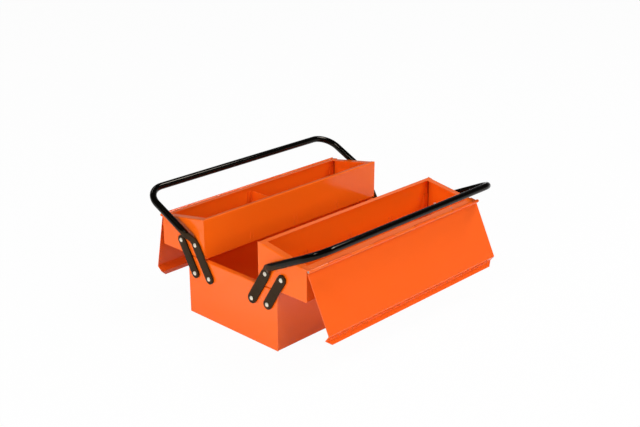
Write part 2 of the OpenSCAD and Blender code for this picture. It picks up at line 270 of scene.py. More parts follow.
@dataclass(frozen=True)
class Effect:
    """A shader node group that several finishes use, built once."""

    name: str
    inputs: dict[str, float]
    outputs: Sequence[str]
    fill: Callable[[NodeSheet, Node, Node], None]

    def tree(self) -> bpy.types.NodeTree:
        """Makes the group, or finds it when it is there already.

        Returns:
            The group's node tree.
        """
        found = bpy.data.node_groups.get(self.name)
        if found is not None:
            return found
        tree = bpy.data.node_groups.new(self.name, "ShaderNodeTree")
        for label, default in self.inputs.items():
            socket = tree.interface.new_socket(label, in_out="INPUT", socket_type="NodeSocketFloat")
            socket.default_value = default
        for label in self.outputs:
            tree.interface.new_socket(label, in_out="OUTPUT", socket_type="NodeSocketFloat")
        sheet = NodeSheet(tree)
        self.fill(sheet, sheet.add("GroupInput"), sheet.add("GroupOutput"))
        return tree

    def place(self, sheet: NodeSheet, **values: float) -> Node:
        """Places the group in a material's sheet with its own values, and returns its node."""
        return sheet.add("Group", values, node_tree=self.tree())


def object_noise(sheet: NodeSheet, scale: Value, detail: float, roughness: float,
                 offset: float = 0.0, stretch: Sequence[float] = (1.0, 1.0, 1.0)) -> Socket:
    """Adds noise on Object coordinates.

    Args:
        sheet: the sheet to add to.
        scale: a socket or a number.
        detail: octaves.
        roughness: strength of the finer octaves.
        offset: shift of the pattern, so that two noises differ.
        stretch: scale along each axis.

    Returns:
        The noise's value socket.
    """
    place = sheet.add("Mapping", {1: (offset, offset * 0.7, -offset), 3: tuple(stretch)})
    sheet.join(sheet.add("TexCoord").outputs["Object"], place.inputs[0])
    noise = sheet.add("TexNoise", {"Detail": detail, "Roughness": roughness})
    sheet.join(place.outputs[0], noise.inputs["Vector"])
    sheet.feed(scale, noise.inputs["Scale"])
    return noise.outputs["Fac"]


def fill_orange_peel(sheet: NodeSheet, source: Node, sink: Node) -> None:
    """Height of sprayed enamel: soft dimples with a finer ripple over them.

    Args:
        sheet: the group's sheet.
        source: the group's input node.
        sink: the group's output node.
    """
    coarse = object_noise(sheet, source.outputs["Scale"], 1.0, 0.4)
    fine = object_noise(sheet, sheet.maths("MULTIPLY", source.outputs["Scale"], 2.7), 1.0, 0.5, offset=3.1)
    both = sheet.maths("ADD", coarse, sheet.maths("MULTIPLY", fine, source.outputs["Ripple"]))
    sheet.join(both, sink.inputs["Height"])


def fill_wear_and_edge_highlight(sheet: NodeSheet, source: Node, sink: Node) -> None:
    """Mask of sharp outer edges, broken up by noise, for wear; and the unbroken edge mask, for a painted
    edge highlight.

    Args:
        sheet: the group's sheet.
        source: the group's input node.
        sink: the group's output node.
    """
    rounded = sheet.add("Bevel", samples=4)
    sheet.join(source.outputs["Width"], rounded.inputs["Radius"])
    plain = sheet.add("NewGeometry")
    turn = sheet.add("VectorMath", operation="DOT_PRODUCT")
    sheet.join(rounded.outputs[0], turn.inputs[0])
    sheet.join(plain.outputs["Normal"], turn.inputs[1])
    edge = sheet.ramp(turn.outputs["Value"], 0.995, 0.86)
    patches = sheet.ramp(object_noise(sheet, 55.0, 3.0, 0.6, offset=1.7), 0.35, 0.62)
    grain = sheet.ramp(object_noise(sheet, 900.0, 2.0, 0.5, offset=5.3), 0.3, 0.6, 0.55, 1.0)
    broken = sheet.maths("MULTIPLY", sheet.maths("MULTIPLY", edge, patches), grain)
    sheet.join(sheet.maths("MULTIPLY", broken, source.outputs["Amount"], clamp=True), sink.inputs["Mask"])
    # Edge: every sharp edge, unbroken; the finishes lighten it with the wear colour as a painted edge
    # highlight.
    sheet.join(edge, sink.inputs["Edge"])


def fill_dust(sheet: NodeSheet, source: Node, sink: Node) -> None:
    """Mask of fine dust that settles on faces that look upwards.

    Args:
        sheet: the group's sheet.
        source: the group's input node.
        sink: the group's output node.
    """
    normal = sheet.add("NewGeometry").outputs["Normal"]
    split = sheet.add("SeparateXYZ")
    sheet.join(normal, split.inputs[0])
    upward = sheet.ramp(split.outputs["Z"], 0.2, 1.0, 0.15, 1.0)
    clouds = sheet.ramp(object_noise(sheet, 14.0, 4.0, 0.6, offset=8.2), 0.4, 0.75)
    specks = sheet.ramp(object_noise(sheet, 1300.0, 1.0, 0.5, offset=2.9), 0.52, 0.72)
    film = sheet.maths("MULTIPLY", clouds, sheet.maths("ADD", sheet.maths("MULTIPLY", specks, 0.6), 0.4))
    settled = sheet.maths("MULTIPLY", film, upward)
    amount = sheet.maths("MULTIPLY", settled, source.outputs["Amount"], clamp=True)
    sheet.join(amount, sink.inputs["Mask"])


def fill_drift(sheet: NodeSheet, source: Node, sink: Node) -> None:
    """Slow change of tone over a panel, about 1, with a faint finer mottle.

    Args:
        sheet: the group's sheet.
        source: the group's input node.
        sink: the group's output node.
    """
    waves = object_noise(sheet, source.outputs["Scale"], 2.0, 0.5, offset=4.4)
    slow = sheet.ramp(waves, 0.25, 0.75, -1.0, 1.0)
    mottle = sheet.ramp(object_noise(sheet, 160.0, 3.0, 0.55, offset=6.6), 0.25, 0.75, -0.35, 0.35)
    change = sheet.maths("MULTIPLY", sheet.maths("ADD", slow, mottle), source.outputs["Amount"])
    sheet.join(sheet.maths("ADD", change, 1.0), sink.inputs["Tone"])


def fill_scratches(sheet: NodeSheet, source: Node, sink: Node) -> None:
    """Mask of sparse hairline scratches in two directions.

    Args:
        sheet: the group's sheet.
        source: the group's input node.
        sink: the group's output node.
    """
    along = object_noise(sheet, 60.0, 2.0, 0.5, offset=9.1, stretch=(0.5, 14.0, 14.0))
    across = object_noise(sheet, 60.0, 2.0, 0.5, offset=7.3, stretch=(12.0, 0.6, 9.0))
    lines = sheet.maths("MAXIMUM", sheet.ramp(along, 0.66, 0.72), sheet.ramp(across, 0.68, 0.73))
    worn = sheet.ramp(object_noise(sheet, 18.0, 2.0, 0.5, offset=2.2), 0.45, 0.7)
    sparse = sheet.maths("MULTIPLY", lines, worn)
    marks = sheet.maths("MULTIPLY", sparse, source.outputs["Amount"], clamp=True)
    sheet.join(marks, sink.inputs["Mask"])


ORANGE_PEEL = Effect("orange_peel", {"Scale": 420.0, "Ripple": 0.3}, ("Height",), fill_orange_peel)
WEAR_AND_EDGE_HIGHLIGHT = Effect("wear_and_edge_highlight", {"Width": 0.0008, "Amount": 0.5}, ("Mask", "Edge"), fill_wear_and_edge_highlight)
DUST_FILM = Effect("dust_film", {"Amount": 0.2}, ("Mask",), fill_dust)
TONE_DRIFT = Effect("tone_drift", {"Scale": 6.0, "Amount": 0.03}, ("Tone",), fill_drift)
HAIRLINES = Effect("hairlines", {"Amount": 0.3}, ("Mask",), fill_scratches)


# ---- Finishes ----


@dataclass(frozen=True)
class Finish:
    """A painted or bare metal finish, with the constants of its shader and the values of its effects."""

    name: str
    colour: Colour
    wear_and_highlight_colour: Colour
    metallic: float = 0.0
    roughness: float = 0.3
    roughness_spread: float = 0.06
    specular: float = 0.5
    specular_tint: Colour = (1.0, 1.0, 1.0)
    peel_scale: float = 420.0
    peel_depth: float = 0.00002
    wear_width: float = 0.0008
    wear: float = 0.4
    # Share of the wear colour laid along every sharp edge: a painted edge highlight, not wear.
    painted_edge_highlight: float = 0.0
    dust: float = 0.1
    drift_scale: float = 6.0
    drift: float = 0.03
    scratches: float = 0.2
    scratch_colour: Colour = (0.5, 0.45, 0.4)
    dust_colour: Colour = (0.62, 0.58, 0.52)

    def build(self) -> bpy.types.Material:
        """Builds the material, or finds it when it is there already.

        Returns:
            The material.
        """
        found = bpy.data.materials.get(self.name)
        if found is not None:
            return found
        material = bpy.data.materials.new(self.name)
        material.use_nodes = True
        sheet = NodeSheet(material.node_tree)
        shader = next(n for n in material.node_tree.nodes if n.type == "BSDF_PRINCIPLED")
        shader.inputs["Metallic"].default_value = self.metallic
        shader.inputs["Specular IOR Level"].default_value = self.specular
        shader.inputs["Specular Tint"].default_value = (*self.specular_tint, 1.0)
        effects = {
            "tone": TONE_DRIFT.place(sheet, Scale=self.drift_scale, Amount=self.drift),
            "wear": WEAR_AND_EDGE_HIGHLIGHT.place(sheet, Width=self.wear_width, Amount=self.wear),
            "dust": DUST_FILM.place(sheet, Amount=self.dust),
            "marks": HAIRLINES.place(sheet, Amount=self.scratches),
            "peel": ORANGE_PEEL.place(sheet, Scale=self.peel_scale),
        }
        self.colour_nodes(sheet, shader, effects)
        self.surface_nodes(sheet, shader, effects)
        return material

    def colour_nodes(self, sheet: NodeSheet, shader: Node, effects: dict[str, Node]) -> None:
        """Feeds Base Color: paint with its tone, a painted highlight along every sharp edge, wear,
        scratches and dust.

        Args:
            sheet: the material's sheet.
            shader: the material's Principled BSDF.
            effects: the placed groups by short name.
        """
        wear = effects["wear"].outputs
        paint = sheet.add("VectorMath", {0: self.colour}, operation="SCALE")
        sheet.join(effects["tone"].outputs["Tone"], paint.inputs["Scale"])
        # Painted edge highlight: the wear colour along every sharp edge, not broken up by noise.
        edge_highlight_share = sheet.maths("MULTIPLY", wear["Edge"], self.painted_edge_highlight)
        highlighted = sheet.mix_colour(edge_highlight_share, paint.outputs[0], self.wear_and_highlight_colour)
        worn = sheet.mix_colour(wear["Mask"], highlighted, self.wear_and_highlight_colour)
        marked = sheet.mix_colour(effects["marks"].outputs["Mask"], worn, self.scratch_colour)
        dusty = sheet.mix_colour(effects["dust"].outputs["Mask"], marked, self.dust_colour)
        sheet.join(dusty, shader.inputs["Base Color"])

    def surface_nodes(self, sheet: NodeSheet, shader: Node, effects: dict[str, Node]) -> None:
        """Feeds Roughness and Normal: smears in the gloss, dull dust and wear, and the sprayed surface.

        Args:
            sheet: the material's sheet.
            shader: the material's Principled BSDF.
            effects: the placed groups by short name.
        """
        masks = {name: effects[name].outputs["Mask"] for name in ("dust", "wear", "marks")}
        smears = sheet.ramp(object_noise(sheet, 22.0, 4.0, 0.6, offset=5.9), 0.3, 0.7,
                            self.roughness - self.roughness_spread, self.roughness + self.roughness_spread)
        dull = sheet.maths("ADD", sheet.maths("MULTIPLY", masks["dust"], 0.5),
                           sheet.maths("MULTIPLY", masks["wear"], 0.25))
        dull = sheet.maths("ADD", dull, sheet.maths("MULTIPLY", masks["marks"], 0.2))
        sheet.join(sheet.maths("ADD", smears, dull, clamp=True), shader.inputs["Roughness"])
        bump = sheet.add("Bump", {"Strength": 1.0, "Distance": self.peel_depth})
        scored = sheet.maths("MULTIPLY", masks["marks"], 0.5)
        low = sheet.maths("SUBTRACT", effects["peel"].outputs["Height"], scored)
        sheet.join(low, bump.inputs["Height"])
        sheet.join(bump.outputs[0], shader.inputs["Normal"])


BASE_PAINT = Finish("orange_enamel_base", (0.90, 0.128, 0.0052), (0.93, 0.26, 0.09), roughness=0.14,
                    roughness_spread=0.03, specular=0.46, wear=0.25, painted_edge_highlight=0.2, drift_scale=5.0,
                    drift=0.015, dust=0.03, scratches=0.02, scratch_colour=(0.9, 0.3, 0.12))
TRAY_PAINT = replace(BASE_PAINT, name="orange_enamel_trays", roughness=0.12, specular=0.34, drift_scale=6.0)
LID_PAINT = replace(BASE_PAINT, name="orange_enamel_lids", colour=(0.91, 0.113, 0.0085), roughness=0.13,
                    specular=0.55, peel_scale=380.0, drift_scale=4.0, drift=0.012, dust=0.02)
HINGE_PAINT = replace(BASE_PAINT, name="orange_enamel_hinges", wear_and_highlight_colour=(0.80, 0.34, 0.17),
                      roughness=0.2, roughness_spread=0.04, specular=0.5, peel_scale=600.0,
                      wear_width=0.0006, wear=0.4, drift_scale=6.0, drift=0.03, dust=0.04,
                      scratches=0.03, scratch_colour=(0.8, 0.35, 0.2))
TUBE_ENAMEL = Finish("black_enamel_tube", (0.0010, 0.0008, 0.0006), (0.010, 0.008, 0.006), roughness=0.09,
                     roughness_spread=0.012, specular=0.26, specular_tint=(1.0, 0.88, 0.72),
                     peel_scale=300.0, peel_depth=0.000006, wear=0.15, painted_edge_highlight=0.1, drift=0.1,
                     dust=0.003, scratches=0.01, scratch_colour=(0.03, 0.027, 0.025))
# The warm brown of this finish is partly the links' own colour and partly a painted reflection of the white
# floor and the orange panels.
LINK_BLACK = Finish("satin_brown_black", (0.028, 0.0155, 0.0065), (0.12, 0.08, 0.05), roughness=0.40,
                    roughness_spread=0.08, specular=0.12, specular_tint=(1.0, 0.85, 0.65),
                    peel_scale=700.0, peel_depth=0.00001, wear_width=0.0007, wear=0.35, painted_edge_highlight=0.1,
                    drift_scale=30.0, drift=0.10, dust=0.02, scratches=0.1,
                    scratch_colour=(0.10, 0.07, 0.045))
RIVET_STEEL = Finish("bright_rivet_steel", (0.80, 0.75, 0.62), (0.86, 0.82, 0.72), metallic=0.4,
                     roughness=0.34, roughness_spread=0.08, peel_scale=900.0, wear_width=0.0005,
                     wear=0.3, painted_edge_highlight=0.1, drift_scale=120.0, drift=0.08, dust=0.02,
                     scratches=0.3, scratch_colour=(0.45, 0.43, 0.40))
DULL_STEEL = replace(RIVET_STEEL, name="dull_rivet_steel", colour=(0.34, 0.30, 0.26),
                     wear_and_highlight_colour=(0.62, 0.58, 0.52), metallic=0.3, roughness=0.3,
                     scratch_colour=(0.5, 0.47, 0.43))
# Painted shade: the wire's shank shows only in the knuckle gaps, so its dark colour stands for the shadow
# there.
GAP_SHADE_WIRE = Finish("wire_painted_with_gap_shade", (0.05, 0.014, 0.006), (0.2, 0.12, 0.08), metallic=0.2,
                   roughness=0.45, roughness_spread=0.1, specular=0.2, peel_scale=900.0,
                   peel_depth=0.00001, wear=0.2, dust=0.05, scratches=0.2,
                   scratch_colour=(0.15, 0.10, 0.07))
# Painted shade: the dark colour of the corner strips, which stand for the shadow inside the trays' open
# seams.
SEAM_SHADE = Finish("painted_seam_shade", (0.40, 0.03, 0.003), (0.45, 0.06, 0.01), roughness=0.6,
                    roughness_spread=0.1, specular=0.05, wear=0.1, dust=0.02, drift=0.05, scratches=0.0)


# ---- Mesh making ----


@dataclass
class Piece:
    """A finished piece: its mesh work, and how it is named, carried, finished and listed."""

    name: str
    body: str
    slot: str
    finish: Finish
    replaces: Sequence[str] = ()
    sharp: float = CREASE
    mesh_work: bmesh.types.BMesh = field(default_factory=bmesh.new)

    def make(self) -> bpy.types.Object:
        """Turns the mesh work into an object at the origin.

        Returns:
            The object, riding on its body.
        """
        bmesh.ops.remove_doubles(self.mesh_work, verts=self.mesh_work.verts, dist=1e-7)
        bmesh.ops.recalc_face_normals(self.mesh_work, faces=self.mesh_work.faces)
        mesh = bpy.data.meshes.new(self.name)
        self.mesh_work.to_mesh(mesh)
        self.mesh_work.free()
        mesh.polygons.foreach_set("use_smooth", [True] * len(mesh.polygons))
        mesh.set_sharp_from_angle(angle=self.sharp)
        mesh.materials.append(self.finish.build())
        piece = bpy.data.objects.new(self.name, mesh)
        bpy.context.scene.collection.objects.link(piece)
        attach(piece, self.body)
        if self.replaces:
            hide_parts(*self.replaces)
        LOG.info("%s rides on %s: %d faces", self.name, self.body, len(mesh.polygons))
        return piece


def lathe(work: bmesh.types.BMesh, profile: Sequence[Point], place: Matrix, steps: int = 32) -> None:
    """Spins a closed profile round the X axis.

    Args:
        work: the mesh work to add to.
        profile: points as distance along X and radius, in millimetres. A profile whose ends lie on the
            axis is closed there, and any other is closed from its last point to its first.
        place: where the shape goes, in metres.
        steps: faces round the axis.
    """
    verts = [work.verts.new(place @ (Vector((x, 0.0, r)) * MM)) for x, r in profile]
    edges = [work.edges.new(pair) for pair in zip(verts, verts[1:])]
    if profile[0][1] > 0 and profile[-1][1] > 0:
        edges.append(work.edges.new((verts[-1], verts[0])))
    axis = place.to_3x3() @ Vector((1.0, 0.0, 0.0))
    bmesh.ops.spin(work, geom=verts + edges, cent=place.translation, axis=axis, dvec=(0.0, 0.0, 0.0),
                   angle=math.tau, steps=steps, use_merge=True, use_duplicate=False)


def arc(centre: Point, radius: float, start: float, end: float, steps: int) -> list[Point]:
    """Points on an arc in the plane.

    Args:
        centre: the arc's centre.
        radius: the arc's radius.
        start: the first point's angle, in degrees.
        end: the last point's angle, in degrees.
        steps: how many pieces the arc is cut into.

    Returns:
        The points from start to end, both with them.
    """
    angles = [math.radians(start + (end - start) * k / steps) for k in range(steps + 1)]
    return [(centre[0] + radius * math.cos(a), centre[1] + radius * math.sin(a)) for a in angles]


@dataclass(frozen=True)
class Section:
    """One cross-section of a swept bar: a rounded rectangle between two unit directions, in millimetres."""

    centre: Vector
    across: Vector
    through: Vector
    half_width: float
    half_thickness: float
    squareness: float = 2.0

    def point(self, angle: float) -> Vector:
        """A point of the outline.

        Args:
            angle: where on the outline, in radians from the direction across.

        Returns:
            The point, in metres.
        """
        c, s = math.cos(angle), math.sin(angle)
        power = 2.0 / self.squareness
        u = math.copysign(abs(c) ** power, c) * self.half_width
        v = math.copysign(abs(s) ** power, s) * self.half_thickness
        return (self.centre + self.across * u + self.through * v) * MM


def sweep(work: bmesh.types.BMesh, sections: Sequence[Section], sides: int) -> None:
    """Extrudes a ring through all sections and closes both ends.

    Args:
        work: empty mesh work.
        sections: cross-sections from one end to the other.
        sides: points round the ring.
    """
    bmesh.ops.create_circle(work, cap_ends=False, segments=sides, radius=1.0)
    ring = list(work.edges)
    for _ in sections[1:]:
        grown = bmesh.ops.extrude_edge_only(work, edges=ring)["geom"]
        ring = [g for g in grown if isinstance(g, bmesh.types.BMEdge)
                and all(v in grown for v in g.verts)]
        fresh = [g for g in grown if isinstance(g, bmesh.types.BMVert)]
        bmesh.ops.translate(work, verts=fresh, vec=(0.0, 0.0, 1.0))
    bmesh.ops.holes_fill(work, edges=[e for e in work.edges if e.is_boundary], sides=sides)
    for vert in work.verts:
        section = sections[round(vert.co.z)]
        vert.co = section.point(math.atan2(vert.co.y, vert.co.x))


def punch(piece: bpy.types.Object, centres: Iterable[Vector], link: Linkage, sides: int = 40) -> None:
    """Cuts pivot holes along X through a lever or link.

    Args:
        piece: the piece, whose mesh is changed.
        centres: middles of the holes, in millimetres.
        link: the linkage, which says how wide and how deep a hole is.
        sides: faces round a hole.
    """
    radius, depth = link.bore_radius * MM, 3 * link.link_thickness * MM
    work = bmesh.new()
    for centre in centres:
        turn = Matrix.Translation(centre * MM) @ Matrix.Rotation(QUARTER, 4, "Y")
        bmesh.ops.create_cone(work, cap_ends=True, segments=sides, radius1=radius, radius2=radius,
                              depth=depth, matrix=turn)
    mesh = bpy.data.meshes.new("cutter")
    work.to_mesh(mesh)
    work.free()
    cutter = bpy.data.objects.new("cutter", mesh)
    bpy.context.scene.collection.objects.link(cutter)
    cut = piece.modifiers.new("holes", "BOOLEAN")
    cut.operation, cut.solver, cut.object = "DIFFERENCE", "EXACT", cutter
    bpy.context.view_layer.update()
    holed = bpy.data.meshes.new_from_object(piece.evaluated_get(bpy.context.evaluated_depsgraph_get()))
    piece.modifiers.clear()
    old, piece.data = piece.data, holed
    name = old.name
    bpy.data.meshes.remove(old)
    holed.name = name
    holed.set_sharp_from_angle(angle=CREASE)
    bpy.data.objects.remove(cutter)


# ---- Sub-assemblies ----


def ease(value: float, low: float, high: float) -> float:
    """A smooth step from 0 at low to 1 at high."""
    share = min(1.0, max(0.0, (value - low) / (high - low)))
    return share * share * (3.0 - 2.0 * share)


@dataclass
class Handle:
    """A bail of round tube whose ends are flattened into the long levers of the linkage."""

    side: Side
    linkage: Linkage = LINKAGE
    tube_radius: float = 5.49
    arm_radius: float = 5.9
    tube_standoff: float = 9.5
    lever_half_width: float = 8.5
    elbow_reach: float = 16.5
    elbow_angle: float = math.radians(32.5)
    elbow_radius: float = 28.0
    arm_length: float = 114.5
    grip_bend: float = 33.0
    narrow_run: tuple[float, float] = (50.0, 80.0)
    shift_run: tuple[float, float] = (59.0, 80.0)
    swell_run: tuple[float, float] = (60.0, 92.0)
    blackened_to: float = 76.0
    blackened_slant: float = 2.4
    strip_squareness: float = 7.0
    sides: int = 48
    cap_steps: int = 12
    taper_steps: int = 32
    arm_steps: int = 6
    bend_steps: int = 18

    def plane_point(self, w: float, z: float, x: float) -> Vector:
        """Turns a point of the lever's own half plane to the open angle.

        Args:
            w: distance across the lever, outwards.
            z: distance along the lever from the base pivot.
            x: distance along the box.

        Returns:
            The point, in millimetres.
        """
        swing = self.linkage.link_swing
        out = self.linkage.base_pivot_w + w * math.cos(swing) + z * math.sin(swing)
        up = self.linkage.base_pivot_z - w * math.sin(swing) + z * math.cos(swing)
        return Vector((x * self.side.value, out * self.side.value, up))

    def plane_turn(self, w: float, z: float, x: float) -> Vector:
        """Turns a direction of the lever's own half plane to the open angle.

        Args:
            w: share across the lever, outwards.
            z: share along the lever.
            x: share along the box.

        Returns:
            The unit direction.
        """
        c, s = math.cos(self.linkage.link_swing), math.sin(self.linkage.link_swing)
        return Vector((x * self.side.value, (w * c + z * s) * self.side.value, z * c - w * s)).normalized()

    @property
    def flat_x(self) -> float:
        """Middle of the flattened lever's thickness."""
        return self.linkage.link_x + self.linkage.link_thickness / 2

    @property
    def tube_x(self) -> float:
        """Axis of the arms."""
        return self.linkage.end_x + self.tube_standoff

    @property
    def elbow_tangent(self) -> float:
        """Distance from the elbow's corner to where its bend starts."""
        return self.elbow_radius * math.tan(self.elbow_angle / 2)

    @property
    def elbow_start(self) -> float:
        """Run from the base pivot to where the lever starts to bend."""
        return self.linkage.link_length + self.elbow_reach - self.elbow_tangent

    @property
    def grip_start(self) -> float:
        """Run from the base pivot to where the arm starts to bend into the grip."""
        elbow_end = self.elbow_start + self.elbow_radius * self.elbow_angle
        return elbow_end + self.arm_length - self.grip_bend - self.elbow_tangent

    def path(self, run: float) -> tuple[float, float, float]:
        """Centre line of lever, elbow and arm.

        Args:
            run: distance along it from the base pivot.

        Returns:
            Distance across the lever, height along it, and angle from it.
        """
        turned = (run - self.elbow_start) / self.elbow_radius
        if turned <= 0.0:
            return 0.0, run, 0.0
        held = min(turned, self.elbow_angle)
        beyond = (turned - held) * self.elbow_radius
        return (self.elbow_radius * (1.0 - math.cos(held)) + beyond * math.sin(held),
                self.elbow_start + self.elbow_radius * math.sin(held) + beyond * math.cos(held), held)

    def section(self, run: float, cap: float = 1.0) -> Section:
        """The section at a run: a flat strip that grows rounder, narrower and further out to the tube.

        Args:
            run: distance along the centre line from the base pivot.
            cap: share of the width that is left, for the lever's round end.

        Returns:
            The section.
        """
        w, z, angle = self.path(run)
        spans = (self.narrow_run, self.shift_run, self.swell_run)
        narrow, shift, swell = (ease(run, *span) for span in spans)
        half_thickness = self.linkage.link_thickness / 2
        return Section(
            self.plane_point(w, z, self.flat_x + (self.tube_x - self.flat_x) * shift),
            self.plane_turn(math.cos(angle), -math.sin(angle), 0.0),
            self.plane_turn(0.0, 0.0, 1.0),
            (self.lever_half_width + (self.arm_radius - self.lever_half_width) * narrow) * cap,
            half_thickness + (self.tube_radius - half_thickness) * swell,
            self.strip_squareness - (self.strip_squareness - Section.squareness) * math.sqrt(swell))

    def lever_and_arm(self) -> list[Section]:
        """Sections from one lever's round end to where the arm bends into the grip, at +X.

        Returns:
            The sections.
        """
        sections = []
        for k in range(1, self.cap_steps + 1):
            phi = QUARTER * k / self.cap_steps
            sections.append(self.section(-self.lever_half_width * math.cos(phi), math.sin(phi)))
        flat_end, taper_end = self.narrow_run[0], self.swell_run[1]
        sections += [self.section(flat_end * share) for share in (0.33, 0.66, 1.0)]
        for start, end, steps in ((flat_end, taper_end, self.taper_steps),
                                  (taper_end, self.grip_start, self.arm_steps)):
            sections += [self.section(start + (end - start) * k / steps) for k in range(1, steps + 1)]
        return sections

    def half(self) -> list[Section]:
        """Sections from one lever's round end to near the middle of the grip, at +X.

        Returns:
            The sections.
        """
        sections = self.lever_and_arm()
        across = sections[-1].across
        w, z, angle = self.path(self.grip_start)
        arm = (math.sin(angle), math.cos(angle))
        for k in range(1, self.bend_steps + 1):
            turn = QUARTER * k / self.bend_steps
            reach = self.grip_bend * math.sin(turn)
            outward = self.plane_turn(arm[0] * math.sin(turn), arm[1] * math.sin(turn), math.cos(turn))
            centre = self.plane_point(w + arm[0] * reach, z + arm[1] * reach,
                                      self.tube_x - self.grip_bend * (1.0 - math.cos(turn)))
            width = self.arm_radius + (self.tube_radius - self.arm_radius) * k / self.bend_steps
            sections.append(Section(centre, across, outward, width, self.tube_radius))
        grip = self.tube_x - self.grip_bend
        corner = (w + arm[0] * self.grip_bend, z + arm[1] * self.grip_bend)
        for share in (0.75, 0.5, 0.25):
            centre = self.plane_point(*corner, grip * share)
            sections.append(Section(centre, across, outward, self.tube_radius, self.tube_radius))
        return sections

    def blacken(self, piece: bpy.types.Object) -> None:
        """Gives the flattened levers the satin finish of the links, whose brown is partly a painted
        reflection of the floor.

        Args:
            piece: the handle.
        """
        mesh = piece.data
        mesh.materials.append(LINK_BLACK.build())
        w, z, angle = self.path(self.blackened_to)
        arm = self.plane_turn(math.sin(angle), math.cos(angle), 0.0)
        upper = self.plane_turn(-math.cos(angle), math.sin(angle), 0.0)
        border = self.plane_point(w, z, 0.0) * MM + upper * self.arm_radius * MM
        for face in mesh.polygons:
            if (face.center - border).dot(arm + upper * self.blackened_slant) < 0.0:
                face.material_index = 1

    def build(self) -> None:
        """Builds the handle and punches the pivot holes in its levers."""
        half = self.half()
        flip = Matrix.Scale(-1.0, 3, Vector((1.0, 0.0, 0.0)))
        other = [replace(s, centre=flip @ s.centre, through=flip @ s.through) for s in half]
        last = half[-1]
        middle = replace(last, centre=Vector((0.0, last.centre.y, last.centre.z)))
        name = f"{self.side.word}_handle"
        piece = Piece(f"{name}_tube", name, "handle_paint", TUBE_ENAMEL, (name,), math.radians(50))
        sweep(piece.mesh_work, [*half, middle, *reversed(other)], self.sides)
        made = piece.make()
        link = self.linkage
        punch(made, [self.plane_point(0.0, z, self.flat_x * end.value)
                     for z in (0.0, link.link_length) for end in End], link)
        self.blacken(made)


@dataclass
class OuterLink:
    """The short flat link between the outer pivots, with rolled-over edges."""

    side: Side
    end: End
    linkage: Linkage = LINKAGE
    edge_round: float = 0.45
    end_steps: int = 14
    edge_steps: int = 3

    def build(self) -> None:
        """Builds the link as a plate with round ends, and punches its two holes."""
        link = self.linkage
        name = f"{self.side.word}_link_{self.end.word}"
        piece = Piece(f"{name}_plate", name, "link_finish", LINK_BLACK, (name,), math.radians(60))
        work = piece.mesh_work
        bmesh.ops.create_cube(work, size=1.0)
        bmesh.ops.scale(work, verts=work.verts, vec=Vector(
            (link.link_thickness, link.link_width, link.link_length + link.link_width)) * MM)
        corners = [e for e in work.edges
                   if abs(e.verts[0].co.x - e.verts[1].co.x) > link.link_thickness * MM / 2]
        just_under_half = link.link_width / 2 * MM * 0.9999
        bmesh.ops.bevel(work, geom=corners, offset=just_under_half, offset_type="OFFSET",
                        segments=self.end_steps, profile=0.5, affect="EDGES", material=-1)
        bmesh.ops.remove_doubles(work, verts=work.verts, dist=1e-5)
        rims = [e for e in work.edges if len(e.link_faces) == 2 and e.calc_face_angle() > math.radians(60)]
        bmesh.ops.bevel(work, geom=rims, offset=self.edge_round * MM, offset_type="OFFSET",
                        segments=self.edge_steps, profile=0.5, affect="EDGES", material=-1)
        swing = link.link_swing
        middle = Vector((self.end.value * (link.link_x + link.link_thickness / 2),
                         self.side.value * (link.base_pivot_w + link.pivot_spacing + link.swing_w / 2),
                         link.base_pivot_z + link.link_length / 2 * math.cos(swing))) * MM
        turn = Matrix.Rotation(-self.side.value * swing, 4, "X")
        bmesh.ops.transform(work, matrix=Matrix.Translation(middle) @ turn, verts=work.verts)
        made = piece.make()
        lean = Vector((0.0, self.side.value * math.sin(swing), math.cos(swing))) * link.link_length / 2
        punch(made, [middle / MM - lean, middle / MM + lean], link)


